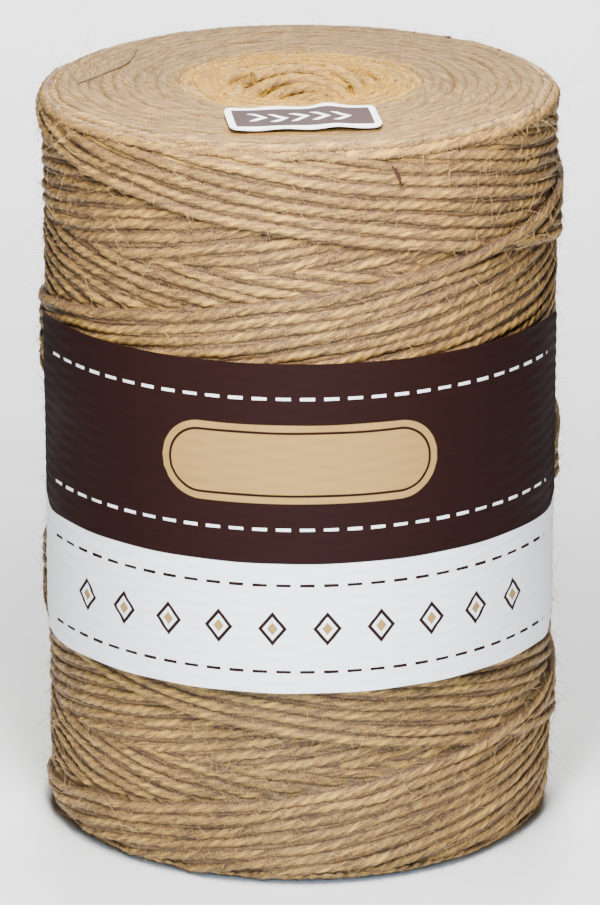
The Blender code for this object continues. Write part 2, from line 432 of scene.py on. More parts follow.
FIBRE_GRAIN = make_fibre_group()
FINE_FUZZ = make_fuzz_group()
ROUND_BOX = make_box_group()
DASH_ROW = make_dash_group()


# --- Materials ---

STRAW = (0.225, 0.120, 0.050)
PALE_STRAW = (0.80, 0.468, 0.086)
TAN_SHADE = (0.104, 0.056, 0.034)
RUST = (0.32, 0.110, 0.032)
BARK = (0.065, 0.040, 0.030)
BROWN_INK = (0.0172, 0.0063, 0.0054)
DEEP_BROWN_INK = (0.0138, 0.0052, 0.0044)
WORN_BROWN_INK = (0.075, 0.048, 0.046)
TAN_INK = (0.33, 0.195, 0.062)
PAPER_WHITE = (0.86, 0.875, 0.89)
FLOOR_WHITE = (0.86, 0.86, 0.86)
INK_SOFTNESS = 0.00008


def new_material(name, **sockets):
    """A Principled material with its constant sockets set, its tree and its shader's inputs."""
    material = bpy.data.materials.new(name)
    material.use_nodes = True
    tree = Tree(material.node_tree)
    shader = material.node_tree.nodes["Principled BSDF"].inputs
    for label, value in sockets.items():
        tree.set(shader[label.replace("_", " ")], value)
    return material, tree, shader


def make_jute(name, shade=TAN_SHADE, straw=STRAW, pale=PALE_STRAW, bump=0.00028, fuzz=0.26, crevice_shade=0.52,
              groove_shade=0.10, uneven=0.20, gloss=0.35):
    """Dry plant fibre: straw and tan streaks, rusty flecks, bits of bark, fuzz, painted shade in the
    crevices and ply grooves and a painted highlight on the crests.
    """
    material, tree, shader = new_material(name, Roughness=0.6, Specular_IOR_Level=gloss,
                                          Specular_Tint=(1.0, 0.86, 0.62))
    where = tree.add("ShaderNodeAttribute", attribute_name="yarn")["Vector"]
    tint = tree.add("ShaderNodeAttribute", attribute_name="tint")["Fac"]
    relief = tree.add("ShaderNodeAttribute", attribute_name="relief")["Vector"].parts()
    sunk, grooved = relief[0], relief[1]
    grain = tree.add("ShaderNodeGroup", {"Coordinates": where, "Fibre Length": 0.0055,
                                         "Fibre Width": 0.00032, "Fleck Share": 0.56}, node_tree=FIBRE_GRAIN)
    # Pale streaks, mixed in most on the crests of the strands and their plies as a painted highlight
    crest = (1.0 - sunk) * (1.0 - grooved * 0.4)
    pale_streaks_and_highlight = grain["Patch"].remap(0.0, 1.0, 0.35, 1.0) * grain["Streak"] * crest.remap(0.10, 0.95)
    colour = tree.blend(grain["Streak"], shade, straw)
    colour = tree.blend(pale_streaks_and_highlight, colour, pale)
    colour = tree.blend(grain["Fleck"] * 0.45, colour, RUST)
    colour = tree.blend(grain["Bark"] * 0.7, colour, BARK)
    # Painted shade: the colour is darkened down the flanks of the strands and in the grooves between plies,
    # and kept greyer than the strands, which the light between them would redden
    hollow = (1.0 - grooved * groove_shade) * (1.0 - sunk * crevice_shade)
    blue = hollow ** 0.45 * (sunk * sunk * (crevice_shade * 0.9) + 1.0)
    colour = tree.blend(1.0, colour, tree.combine(hollow, hollow ** 0.95, blue), "MULTIPLY")
    area = tree.noise(tree.place_on_object(), 32.0, 2.0)["Fac"]
    tone = (tint.remap(0.0, 1.0, 1.0 - uneven, 1.0 + 0.5 * uneven)
            * area.remap(0.32, 0.68, 1.0 - uneven, 1.0 + 0.8 * uneven))
    colour = tree.blend(1.0, colour, tree.combine(tone, tone, tone ** 0.8), "MULTIPLY")
    crossing = tree.add("ShaderNodeGroup", {"Coordinates": tree.place_on_object()}, node_tree=FINE_FUZZ)
    tree.set(shader["Base Color"], tree.blend(crossing["Mask"] * fuzz, colour, pale))
    tree.set(shader["Roughness"], grain["Streak"].remap(0.0, 1.0, 0.75, 0.48))
    height = grain["Height"] + crossing["Mask"] * 0.25
    raised = tree.add("ShaderNodeBump", {"Strength": 1.0, "Distance": bump, "Height": height})[0]
    tree.set(shader["Normal"], raised)
    return material


def make_hair_material(name, pale, deep):
    """Loose fibres in tones between two colours, some of them rusty."""
    material, tree, shader = new_material(name, Roughness=0.7, Specular_IOR_Level=0.2)
    tint = tree.add("ShaderNodeAttribute", attribute_name="tint")["Fac"]
    colour = tree.blend(tint.remap(0.0, 0.75), pale, deep)
    tree.set(shader["Base Color"], tree.blend(tint.remap(0.93, 0.95), colour, RUST))
    return material


def new_print(name, mottle_scale):
    """A material of printed paper, its tree, its colour socket, the place on the sheet and a mottle."""
    material, tree, shader = new_material(name, Roughness=0.6, Specular_IOR_Level=0.03)
    mottle = tree.noise(tree.place_on_object(), mottle_scale, 3.0)["Fac"]
    tree.set(shader["Roughness"], mottle.remap(0.3, 0.7, 0.52, 0.68))
    place = tree.add("ShaderNodeUVMap", uv_map="UVMap")[0].parts()
    return material, tree, shader["Base Color"], place, mottle


def ink_edge(distance, edge=0.0):
    """1 where a distance is below an edge, with a slightly soft rim as print has."""
    return distance.remap(edge + INK_SOFTNESS, edge - INK_SOFTNESS)


def make_front_label_material():
    """A dark brown field with a tan cartouche over a white foot, rows of dashes and a row of diamonds."""
    material, tree, colour_socket, place, mottle = new_print("label_print", 45.0)
    across = (place[0] - 0.5) * BAND_WIDTH
    up = place[1] * BAND_HEIGHT
    line = BAND_COLOUR_LINE - band_low[2]
    middle = (line + BAND_HEIGHT) / 2
    brown = tree.blend(mottle, DEEP_BROWN_INK, BROWN_INK)
    colour = tree.blend(ink_edge(up - line), brown, PAPER_WHITE)
    cartouche = {"Across": across, "Up": up, "Centre Up": middle, "Half Width": 31 * MM,
                 "Half Height": 9 * MM, "Corner": 8.9 * MM}
    distance = tree.add("ShaderNodeGroup", cartouche, node_tree=ROUND_BOX)["Distance"]
    for edge, ink in ((0.0, TAN_INK), (-1.5 * MM, brown), (-2.1 * MM, TAN_INK)):
        colour = tree.blend(ink_edge(distance, edge), colour, ink)
    in_field = abs(across) < BAND_WIDTH / 2 - 6 * MM
    for row, ink in ((middle + 15 * MM, PAPER_WHITE), (middle - 15 * MM, PAPER_WHITE),
                     (5 * MM, BROWN_INK), (line - 5 * MM, BROWN_INK)):
        dashes = {"Across": across, "Up": up, "Row Height": row, "Pitch": 5.2 * MM, "Dash Share": 0.62,
                  "Half Thickness": 0.35 * MM}
        on_dash = tree.add("ShaderNodeGroup", dashes, node_tree=DASH_ROW)["Mask"]
        colour = tree.blend(on_dash * in_field, colour, ink)
    pitch = 12 * MM
    along = tree.calc("FRACT", across / pitch) - 0.5
    diamond = abs(along) * pitch + abs(up - line / 2) * 0.8
    in_row = abs(across) < 5 * pitch
    for edge, ink in ((3.2 * MM, BROWN_INK), (2.2 * MM, PAPER_WHITE), (1.2 * MM, TAN_INK)):
        colour = tree.blend(ink_edge(diamond, edge) * in_row, colour, ink)
    tree.set(colour_socket, colour)
    return material


def make_top_label_material():
    """White sheet with a brown field and a row of plain chevrons."""
    material, tree, colour_socket, place, mottle = new_print("top_label_print", 120.0)
    across = (place[0] - 0.5) * TAG_SIZE[0]
    up = (place[1] - 0.5) * TAG_SIZE[1]
    field = {"Across": across, "Up": up, "Half Width": TAG_SIZE[0] / 2 - 1.5 * MM,
             "Half Height": TAG_SIZE[1] / 2 - 2.2 * MM, "Corner": 0.4 * MM}
    distance = tree.add("ShaderNodeGroup", field, node_tree=ROUND_BOX)["Distance"]
    brown = tree.blend(mottle, BROWN_INK, WORN_BROWN_INK)
    colour = tree.blend(ink_edge(distance), PAPER_WHITE, brown)
    pitch = 4.6 * MM
    shifted = across + abs(up) * 0.9
    stripe = tree.calc("FRACT", shifted / pitch) < 0.34
    in_row = (abs(shifted - pitch * 0.17) < pitch * 2.4) * (abs(up) < 3.2 * MM)
    tree.set(colour_socket, tree.blend(stripe * in_row, colour, PAPER_WHITE))
    return material


JUTE = make_jute("jute_twine")
EDGE_JUTE = make_jute("jute_edge", crevice_shade=0.22, groove_shade=0.08, fuzz=0.36)
# The pressed turns of the top: their colours are darkened as painted shade, so that the top, which catches
# more of the light, is no brighter than the side
SHADED_PRESSED_JUTE = make_jute("jute_pressed", (0.126, 0.072, 0.032), (0.222, 0.129, 0.044), (0.40, 0.236, 0.062),
                         bump=0.00030, fuzz=0.45, crevice_shade=0.10, groove_shade=0.05, uneven=0.08, gloss=0.10)
LOOSE_JUTE = make_jute("jute_loose", (0.215, 0.120, 0.040), (0.43, 0.246, 0.044), (0.72, 0.415, 0.040),
                       bump=0.00035, fuzz=0.70, crevice_shade=0.35, groove_shade=0.20, uneven=0.14, gloss=0.15)
HOLLOW_JUTE = make_jute("jute_hollow", (0.245, 0.138, 0.066), (0.48, 0.280, 0.080), (0.80, 0.475, 0.082),
                        bump=0.00035, fuzz=0.60, crevice_shade=0.30, groove_shade=0.20, uneven=0.14, gloss=0.15)
JUTE_HAIR = make_hair_material("jute_hair", (0.74, 0.50, 0.205), (0.34, 0.21, 0.088))
TOP_HAIR = make_hair_material("top_hair", (0.80, 0.49, 0.100), (0.34, 0.195, 0.056))
BARK_HAIR = make_hair_material("bark_hair", (0.150, 0.098, 0.062), (0.110, 0.070, 0.046))
SIDE_BARK_FINISH = make_hair_material("side_bark", (0.052, 0.020, 0.012), (0.034, 0.013, 0.008))
HOLLOW_HAIR = make_hair_material("hollow_hair", (0.80, 0.46, 0.034), (0.46, 0.25, 0.040))
FRONT_PRINT = make_front_label_material()
TOP_PRINT = make_top_label_material()


# --- The winding ---

def around(angle, radius, height):
    """The point at an angle, a radius and a height."""
    return Vector((radius * math.sin(angle), -radius * math.cos(angle), height))


def winding_place(angle, height):
    """Strand numbers at a place on the side: of the climbing and of the falling family."""
    rise = (height - NEWEST_CROSSING_HEIGHT) / (2 * STEP_HEIGHT)
    turn = (angle - NEWEST_CROSSING) / (2 * STEP_ANGLE)
    return rise - turn, rise + turn


def crest_radius(angle, height):
    """The height of the pile of strands at a place on the side, as the newest two left it."""
    climbing, falling = winding_place(angle, height)
    ages = math.floor(-climbing) % STRANDS + math.floor(falling) % STRANDS
    return ROLL_RADIUS - LAYER_FALL * ages / STRANDS


def rounded_end(radius, height):
    """Bring a radius in where the side turns over into an end face."""
    top_limit = FACE_HEIGHT - TOP_SHOULDER
    for reach, limit, sign in ((TOP_SHOULDER, top_limit, 1), (FOOT_SHOULDER, FOOT_SHOULDER, -1)):
        beyond = min(max(sign * (height - limit), 0.0), reach)
        radius -= reach - math.sqrt(reach * reach - beyond * beyond)
    return radius


def smooth_step(share):
    """A smooth rise from 0 to 1."""
    share = min(max(share, 0.0), 1.0)
    return share * share * (3 - 2 * share)


def keep_values(mesh, name, values):
    """Keep a number or a vector for each point of a mesh."""
    if isinstance(values[0], (int, float)):
        mesh.attributes.new(name, "FLOAT", "POINT").data.foreach_set("value", values)
    else:
        flat = [part for vector in values for part in vector]
        mesh.attributes.new(name, "FLOAT_VECTOR", "POINT").data.foreach_set("vector", flat)


def new_object(name, data):
    """An object in the scene."""
    made = bpy.data.objects.new(name, data)
    bpy.context.scene.collection.objects.link(made)
    return made


class Runs:
    """Centre lines of strands, gathered as one mesh of edges with what the twine needs to know."""

    def __init__(self):
        self.points = []
        self.outwards = []
        self.edges = []
        self.starts = []
        self.tints = []

    def add(self, points, outwards, tint, start=None):
        """Add a centre line.  Its twist begins at the start distance, or at one drawn here."""
        if len(points) < 2:
            return
        first = len(self.points)
        self.points.extend(points)
        self.outwards.extend(outwards)
        self.edges.extend((place, place + 1) for place in range(first, len(self.points) - 1))
        self.starts.extend([rng.uniform(0.0, LONGEST_START) if start is None else start] * len(points))
        self.tints.extend([tint] * len(points))

    def mesh(self, name):
        """The mesh of all the centre lines."""
        mesh = bpy.data.meshes.new(name)
        mesh.from_pydata(self.points, self.edges, [])
        keep_values(mesh, "out", self.outwards)
        keep_values(mesh, "start", self.starts)
        keep_values(mesh, "tint", self.tints)
        return mesh


class Wander:
    """A slow, smooth drift along a strand."""

    def __init__(self, reach, wavelength):
        self.waves = [(reach * rng.uniform(*WAVE_SIZES), rng.uniform(*WAVE_RATES) * math.tau / wavelength,
                       rng.uniform(0, math.tau)) for _ in range(WAVES)]

    def at(self, distance):
        """The drift at a distance along the strand."""
        return sum(size * math.sin(rate * distance + phase) for size, rate, phase in self.waves)


def side_point(climbs, strand, crossing):
    """Angle and height of a strand of either family at its crossing number."""
    if climbs:
        return (NEWEST_CROSSING + (crossing - strand - 0.5) * STEP_ANGLE,
                NEWEST_CROSSING_HEIGHT + STEP_HEIGHT * (crossing + strand + 0.5))
    return (NEWEST_CROSSING + (crossing + strand + 0.5) * STEP_ANGLE,
            NEWEST_CROSSING_HEIGHT + STEP_HEIGHT * (strand + 0.5 - crossing))


def part_of_side(angle, height):
    """Which part of the side a place is in: covered by the label, the back or the front."""
    from_front = abs((angle + math.pi) % math.tau - math.pi)
    if (from_front < BAND_HALF_ANGLE - COVERED_MARGIN / ROLL_RADIUS
            and band_low[2] + COVERED_MARGIN < height < band_high[2] - COVERED_MARGIN):
        return "covered"
    return "back" if math.cos(angle) < BACK_LIMIT else "front"


def side_runs(family, low, high, edges, parts):
    """Every stretch of a family that lies on top, between two heights.

    A strand is hidden by those of the other family that were wound later.  It dives under them
    at both ends of each stretch, and into the roll at the upper and lower edges of the side.
    """
    climbs = family == "climbing"
    periods = int((high - low) / STEP_HEIGHT) // STRANDS + SPARE_PERIODS
    for strand in range(STRANDS):
        age = (-1 - strand) % STRANDS if climbs else strand
        shown_from = age if climbs else age + 1
        newest = climbs and age == 0
        hidden = 0.0 if newest else RUN_HIDDEN_END
        wander_up = Wander(*WANDER_UP)
        wander_out = Wander(*WANDER_OUT)
        sink = rng.uniform(0.0, STRAND_SINK)
        shift = rng.uniform(-STRAND_SHIFT, STRAND_SHIFT)
        tint = rng.random()
        for period in range(-periods, periods):
            begin = period * STRANDS + shown_from
            end = (period + 1) * STRANDS
            if begin >= end:
                continue
            count = max(2, math.ceil((end - begin + 2 * hidden) / POINT_SPACING))
            stretch_tint = min(max(tint + rng.uniform(-STRETCH_TINT, STRETCH_TINT), 0.0), 1.0)
            stretch = []
            for place in range(count + 1):
                crossing = begin - hidden + (end - begin + 2 * hidden) * place / count
                angle, height = side_point(climbs, strand, crossing)
                if not low <= height <= high:
                    continue
                fall = min(max(crossing - period * STRANDS, 0.0), STRANDS)
                if newest:
                    fall = min(fall, (STRANDS - fall) * STRANDS)
                crest = ROLL_RADIUS - LAYER_FALL * (age + fall) / STRANDS - sink
                if not newest:
                    near_end = min(crossing - begin, end - crossing)
                    crest -= DIVE_DEPTH * smooth_step((DIVE_REACH - near_end) / (2 * DIVE_REACH))
                near_edge = min(height - edges[0], edges[1] - height)
                crest -= DIVE_DEPTH * smooth_step(1 - near_edge / EDGE_DIVE)
                distance = crossing * STEP_LENGTH
                centre = rounded_end(crest, height) - TWINE_THICKNESS / 2 + wander_out.at(distance)
                point = around(angle, centre, height + shift + wander_up.at(distance))
                stretch.append((point, around(angle, 1.0, 0.0), part_of_side(angle, height)))
            add_stretch(stretch, parts, stretch_tint)


def add_stretch(stretch, parts, tint):
    """Share a stretch out between the parts of the side; its twist carries on where two of them meet."""
    start = rng.uniform(0.0, LONGEST_START)
    first = 0
    for place in range(1, len(stretch) + 1):
        if place < len(stretch) and stretch[place][2] == stretch[first][2]:
            continue
        shared = stretch[first:place + 1]
        points = [point for point, _out, _part in shared]
        parts[stretch[first][2]].add(points, [out for _point, out, _part in shared], tint, start)
        start += sum((after - here).length for here, after in zip(points, points[1:]))
        first = place


def end_profile(shoulder, face, direction, inner_radius, start):
    """Places of the turns on a shoulder and its end face: radius, height and tilt, from the side in.

    The first one lies at the start distance round the shoulder, where the strands of the side end.
    """
    places = []
    arc = shoulder * math.pi / 2
    side = ROLL_RADIUS - LAYER_FALL * 0.5
    distance = start
    while distance < arc:
        turn = distance / shoulder
        places.append((side - shoulder * (1 - math.cos(turn)),
                       face - direction * shoulder * (1 - math.sin(turn)), direction * turn))
        distance += RING_SPACING
    radius = side - shoulder - (distance - arc)
    while radius > inner_radius:
        places.append((radius, face, direction * math.pi / 2))
        radius -= RING_SPACING
    return places


def wall_profile():
    """Places of the turns on the lip and the wall of the hollow, from its mouth down to its floor."""
    places = []
    widening = HOLLOW_MOUTH_RADIUS - HOLLOW_FLOOR_RADIUS
    for step in range(WALL_TURNS):
        share = (step + 0.4) / WALL_TURNS
        radius = HOLLOW_FLOOR_RADIUS + widening * math.cos(share * math.pi / 2)
        tilt = math.pi * (WALL_TILT + WALL_TILT_GAIN * min(1.0, share * 2))
        places.append((radius, FACE_HEIGHT - HOLLOW_DEPTH * share, tilt))
    return places


def arc_run(runs, place, thickness, middle, half_span, sink, drift, lean):
    """One turn that comes up to an end face, runs along it and dives back into the roll."""
    radius, height, tilt = place
    count = max(6, math.ceil(2 * half_span * radius / ARC_POINT_SPACING))
    wander = Wander(drift, ARC_DRIFT_WAVE)
    points = []
    outwards = []
    for step in range(count + 1):
        share = 2 * step / count - 1
        angle = middle + half_span * share
        up = around(angle, math.cos(tilt), math.sin(tilt))
        side = around(angle, -math.sin(tilt), math.cos(tilt))
        depth = thickness / 2 + sink * smooth_step((abs(share) - ARC_FLAT_SHARE) / (1 - ARC_FLAT_SHARE))
        centre = around(angle, radius, height - lean * math.sin(angle)) - up * depth
        points.append(centre + side * wander.at(angle * radius))
        outwards.append(up)
    runs.add(points, outwards, rng.random())


def ring_of_arcs(runs, place, thickness, arc_length, sink, drift, lean=0.0):
    """Arcs one after the other round a ring, each a little off its place."""
    radius, height, tilt = place
    count = max(2, round(math.tau * radius / arc_length))
    offset = rng.uniform(0, math.tau)
    for number in range(count):
        middle = offset + math.tau * (number + rng.uniform(-ARC_SHIFT, ARC_SHIFT)) / count
        half_span = math.tau / count * rng.uniform(*ARC_HALF_SPANS)
        lowered = height - rng.uniform(0.0, ARC_LOWERING) * math.sin(tilt)
        moved = radius + rng.uniform(-ARC_RADIUS_SPREAD, ARC_RADIUS_SPREAD)
        arc_run(runs, (moved, lowered, tilt), thickness, middle, half_span, sink, drift, lean)


def top_runs():
    """The turns of the top: on its shoulder, then pressed flat, and then the loose ones round the hollow."""
    shoulder, pressed, loose = Runs(), Runs(), Runs()
    for place in end_profile(TOP_SHOULDER, FACE_HEIGHT, 1, NEST_INNER_RADIUS, TOP_RUN_ON):
        radius, _height, tilt = place
        if tilt < math.pi / 2:
            ring_of_arcs(shoulder, place, SHOULDER_THICKNESS, arc_length=0.040, sink=0.0010, drift=0.0003)
        elif radius > NEST_RADIUS:
            ring_of_arcs(pressed, place, PRESSED_THICKNESS, arc_length=0.040, sink=0.0009, drift=0.0003)
        else:
            ring_of_arcs(loose, place, LOOSE_THICKNESS, arc_length=0.026, sink=0.0013, drift=0.0008)
    return shoulder, pressed, loose


def foot_runs():
    """The turns of the foot, near its rim."""
    runs = Runs()
    for place in end_profile(FOOT_SHOULDER, 0.0, -1, FOOT_INNER_RADIUS, FOOT_RING_START):
        ring_of_arcs(runs, place, PRESSED_THICKNESS, arc_length=0.045, sink=0.0010, drift=0.00025)
    return runs


# Loose turns in the hollow: points across and back from the axis, and up from the end face, in mm
LOOSE_TURNS = (
    ((-12.5, 4.0, -5.5), (-8.0, 9.5, -3.6), (-1.0, 11.6, -2.4), (6.5, 9.8, -3.4), (11.5, 4.5, -6.0),
     (12.0, -2.0, -8.5)),
    ((-9.5, 6.0, -8.0), (-4.5, 9.6, -5.4), (2.0, 10.4, -4.2), (8.0, 7.4, -5.8), (11.0, 1.0, -8.8)),
    ((-6.0, 8.0, -9.0), (-1.0, 9.3, -6.9), (4.5, 8.6, -6.4), (9.0, 4.8, -8.6), (9.5, -2.0, -11.0)),
    ((6.0, 13.8, -0.7), (9.4, 11.4, -1.2), (12.6, 7.2, -2.6), (13.6, 2.0, -4.8), (12.4, -4.0, -7.4)),
    ((-13.6, 2.6, -2.6), (-13.6, -3.8, -3.2), (-10.5, -8.8, -4.6), (-5.0, -11.4, -6.6), (1.5, -11.6, -8.6)),
    ((-8.5, -3.0, -11.2), (-5.0, 3.5, -9.6), (1.0, 5.5, -9.0), (6.0, 2.5, -10.0), (6.5, -4.0, -11.6)),
    ((-10.5, 9.6, -1.6), (-5.0, 13.0, -1.0), (1.5, 14.0, -0.9), (7.0, 12.4, -2.2), (10.4, 8.6, -4.2)),
)
LOOSE_TURN_TINTS = (0.5, 1.0)
# How strongly the outer side of a loose turn leans towards the axis, for each metre from it
LOOSE_TURN_LEAN = 40

# A dark fibre that lies on the top: points across and back from the axis, in mm
DARK_FIBRE = ((-37.7, 30.2), (-38.3, 21.5), (-39.6, 15.3), (-41.7, 10.6), (-44.2, 6.4), (-46.8, 1.8),
              (-49.7, -2.8))
DARK_FIBRE_LIFT = 0.0001
# Two bits of bark side by side below the rim: angles in degrees and heights in mm
SIDE_BARK = (((19.25, 166.9), (19.6, 166.2), (20.1, 165.4), (20.6, 164.2), (20.95, 163.4), (21.3, 162.7)),
             ((20.0, 166.2), (20.45, 165.3), (20.85, 164.3), (21.1, 163.7)))
BARK_TINT = 0.2
PATH_STEPS = 6


def smooth_path(corners):
    """A smooth curve through corners, as a list of points."""
    padded = [2 * corners[0] - corners[1], *corners, 2 * corners[-1] - corners[-2]]
    points = []
    for before, here, there, after in zip(padded, padded[1:], padded[2:], padded[3:]):
        for step in range(PATH_STEPS):
            t = step / PATH_STEPS
            points.append(0.5 * (2 * here + (there - before) * t
                                 + (2 * before - 5 * here + 4 * there - after) * t * t
                                 + (3 * here - before - 3 * there + after) * t ** 3))
    points.append(corners[-1])
    return points


def hollow_runs():
    """The turns on the wall and floor of the hollow, uneven, and the loose turns that lie on them."""
    runs = Runs()
    for place in wall_profile():
        ring_of_arcs(runs, place, TWINE_THICKNESS, arc_length=0.040, sink=0.0016, drift=0.0008, lean=0.0006)
    for radius in FLOOR_RING_RADII:
        place = (radius, FACE_HEIGHT - HOLLOW_DEPTH + rng.uniform(*FLOOR_RING_LIFT), math.pi / 2)
        ring_of_arcs(runs, place, TWINE_THICKNESS, arc_length=0.024, sink=0.0010, drift=0.0008)
    for turn in LOOSE_TURNS:
        path = smooth_path([Vector((x * MM, y * MM, FACE_HEIGHT + z * MM)) for x, y, z in turn])
        outwards = [(Vector((0, 0, 1.0)) - Vector((point.x, point.y, 0)) * LOOSE_TURN_LEAN).normalized()
                    for point in path]
        runs.add(path, outwards, rng.uniform(*LOOSE_TURN_TINTS))
    return runs


# --- Twine along its centre lines, by Geometry Nodes ---

def make_twine_tree():
    """Twisted plies round each centre line, pressed flat against the roll."""
    tree, given = new_group(
        "twisted_twine", "GeometryNodeTree",
        {"Centre Lines": "Geometry", "Width": TWINE_WIDTH, "Thickness": TWINE_THICKNESS, "Lay": TWINE_LAY,
         "Segment": 0.001, "Ply Depth": 0.080, "Profile Points": 4 * PLIES, "Fibre Turn": 0.70,
         "Roughness": 0.00035, "Finish": "Material"})
    half_width = given["Width"] / 2.0
    along = tree.named("along")
    twist = along / given["Lay"] * math.tau
    outwards = tree.named("out", "FLOAT_VECTOR")
    curve = tree.shape("MeshToCurve", {0: given["Centre Lines"]})
    curve = tree.shape("ResampleCurve", {"Curve": curve, "Length": given["Segment"]}, mode="LENGTH")
    length = tree.add("GeometryNodeSplineParameter")["Length"]
    curve = tree.store(curve, "along", length + tree.named("start"))
    curve = tree.store(curve, "centre", tree.position())
    curve = tree.shape("SetCurveNormal", {"Curve": curve, "Normal": outwards}, mode="FREE")
    curve = tree.shape("SetCurveTilt", {"Curve": curve, "Tilt": twist})

    circle = tree.circle(given["Profile Points"], 1.0)
    lobe = tree.calc("COSINE", tree.position().bearing() * float(PLIES))
    reach = (1.0 - given["Ply Depth"] * (1.0 - lobe)) * half_width
    profile = tree.move(circle, Position=tree.position() * reach)
    profile = tree.store(profile, "ply", tree.position())

    uneven = tree.add("ShaderNodeTexNoise", {"W": along, "Scale": 190.0, "Detail": 1.0},
                      noise_dimensions="1D")["Fac"]
    body = tree.sweep(curve, profile, uneven.remap(0.25, 0.75, 0.90, 1.08))
    offset = tree.position() - tree.named("centre", "FLOAT_VECTOR")
    body = tree.store(body, "height", tree.calc("DOT_PRODUCT", offset, outwards))
    height = tree.named("height")
    pressed = outwards * (height * (given["Thickness"] / given["Width"] - 1.0))
    rough = tree.noise(tree.position(), 1500.0, 1.0)["Color"]
    shake = (rough - (0.5, 0.5, 0.5)) * given["Roughness"]
    body = tree.move(body, Offset=pressed + shake)

    # The fibres lie nearer to the strand's own direction than its plies do
    ply = tree.named("ply", "FLOAT_VECTOR")
    reach = tree.calc("LENGTH", ply)
    bearing = ply.bearing() + twist * given["Fibre Turn"]
    yarn = tree.combine(along, reach * tree.calc("COSINE", bearing), reach * tree.calc("SINE", bearing))
    body = tree.store(body, "yarn", yarn)
    # Where the finish paints shade and a highlight: how far down its flank a point of the strand lies, and
    # how deep in the grooves between plies
    crevice_shade = (height / half_width).remap(0.98, 0.20)
    groove_shade = (reach / half_width).remap(0.99, 1.0 - given["Ply Depth"] * 2.0)
    body = tree.store(body, "relief", tree.combine(crevice_shade, groove_shade))
    return tree.give_mesh(body, given["Finish"], ("along", "centre", "out", "start", "ply", "height"))


def run_tree(name, mesh, tree, **sizes):
    """Run a Geometry Nodes tree on a mesh, and keep the result as a plain mesh object."""
    source = new_object(name, mesh)
    modifier = source.modifiers.new("shape", "NODES")
    modifier.node_group = tree
    for item in tree.interface.items_tree:
        key = item.name.replace(" ", "_")
        if item.in_out == "INPUT" and key in sizes:
            modifier[item.identifier] = sizes[key]
    depsgraph = bpy.context.evaluated_depsgraph_get()
    result = bpy.data.meshes.new_from_object(source.evaluated_get(depsgraph), depsgraph=depsgraph)
    result.name = name
    source.modifiers.clear()
    source.data = result
    return source


TWINE_TREE = make_twine_tree()


def make_twine(name, runs, **sizes):
    """A piece of twine along its centre lines, of plain jute unless another finish is given."""
    return run_tree(name, runs.mesh(name), TWINE_TREE, **{"Finish": JUTE, **sizes})


def build_side():
    """The side: its front for each family and each half of the height, its back, and the covered part."""
    low = FOOT_SHOULDER - FOOT_RUN_ON
    high = FACE_HEIGHT - TOP_SHOULDER + TOP_RUN_ON
    middle = (low + high) / 2
    pieces = []
    back, covered = Runs(), Runs()
    for family in ("climbing", "falling"):
        for half, start, stop in (("lower", low, middle), ("upper", middle, high)):
            front = Runs()
            side_runs(family, start, stop, (low, high), {"front": front, "back": back, "covered": covered})
            pieces.append(make_twine(f"{family}_strands_{half}", front, Segment=0.0011))
    pieces.append(make_twine("back_strands", back, Segment=0.0015, Profile_Points=3 * PLIES))
    pieces.append(make_twine("strands_under_label", covered, Segment=0.0036, Profile_Points=2 * PLIES))
    return pieces


def build_ends():
    """The turns of the top, its rim, the foot, the nest round the hollow and the hollow itself."""
    pressed = {"Width": PRESSED_WIDTH, "Thickness": PRESSED_THICKNESS, "Profile_Points": 3 * PLIES,
               "Ply_Depth": 0.04, "Finish": SHADED_PRESSED_JUTE, "Segment": 0.0014}
    loose = {"Segment": 0.0013, "Thickness": LOOSE_THICKNESS, "Profile_Points": 3 * PLIES,
             "Finish": LOOSE_JUTE}
    rim = {**loose, "Width": SHOULDER_WIDTH, "Thickness": SHOULDER_THICKNESS, "Ply_Depth": 0.07,
           "Finish": EDGE_JUTE}
    shoulder, top, nest = top_runs()
    hollow = hollow_runs()
    return [make_twine("top_turns", top, **pressed),
            make_twine("shoulder_turns", shoulder, **rim),
            make_twine("foot_turns", foot_runs(), **{**pressed, "Segment": 0.0030, "Finish": EDGE_JUTE}),
            make_twine("nest_turns", nest, **loose),
            make_twine("hollow_turns", hollow, Segment=0.0010, Finish=HOLLOW_JUTE)]


def build_bark():
    """The dark fibre on the top, and the bits of bark on the side."""
    sizes = {"Width": 0.0005, "Thickness": 0.0004, "Ply_Depth": 0.0, "Profile_Points": 5,
             "Roughness": 0.0002, "Segment": 0.0008}
    top, side = Runs(), Runs()
    path = smooth_path([Vector((x * MM, y * MM, FACE_HEIGHT + DARK_FIBRE_LIFT)) for x, y in DARK_FIBRE])
    top.add(path, [Vector((0, 0, 1.0))] * len(path), BARK_TINT)
    for bark in SIDE_BARK:
        path = smooth_path([around(math.radians(angle), ROLL_RADIUS, height * MM) for angle, height in bark])
        outwards = [Vector((point.x, point.y, 0)).normalized() for point in path]
        side.add(path, outwards, BARK_TINT, start=0.0)
    return [make_twine("dark_fibre", top, **sizes, Finish=BARK_HAIR),
            make_twine("side_bark", side, **sizes, Finish=SIDE_BARK_FINISH)]


# --- The layer beneath, as one closed body ---

def under_radius(angle, height):
    """The layer beneath bulges between the strands on top of it and is low under them."""
    climbing, falling = winding_place(angle, height)
    climbing_on_top = math.floor(-climbing) % STRANDS <= math.floor(falling) % STRANDS
    strand = climbing if climbing_on_top else falling
    bulge = 0.5 + 0.5 * math.cos(math.tau * strand)
    depth = UNDER_STRAND + (UNDER_GAP - UNDER_STRAND) * bulge
    return rounded_end(crest_radius(angle, height), height) - depth


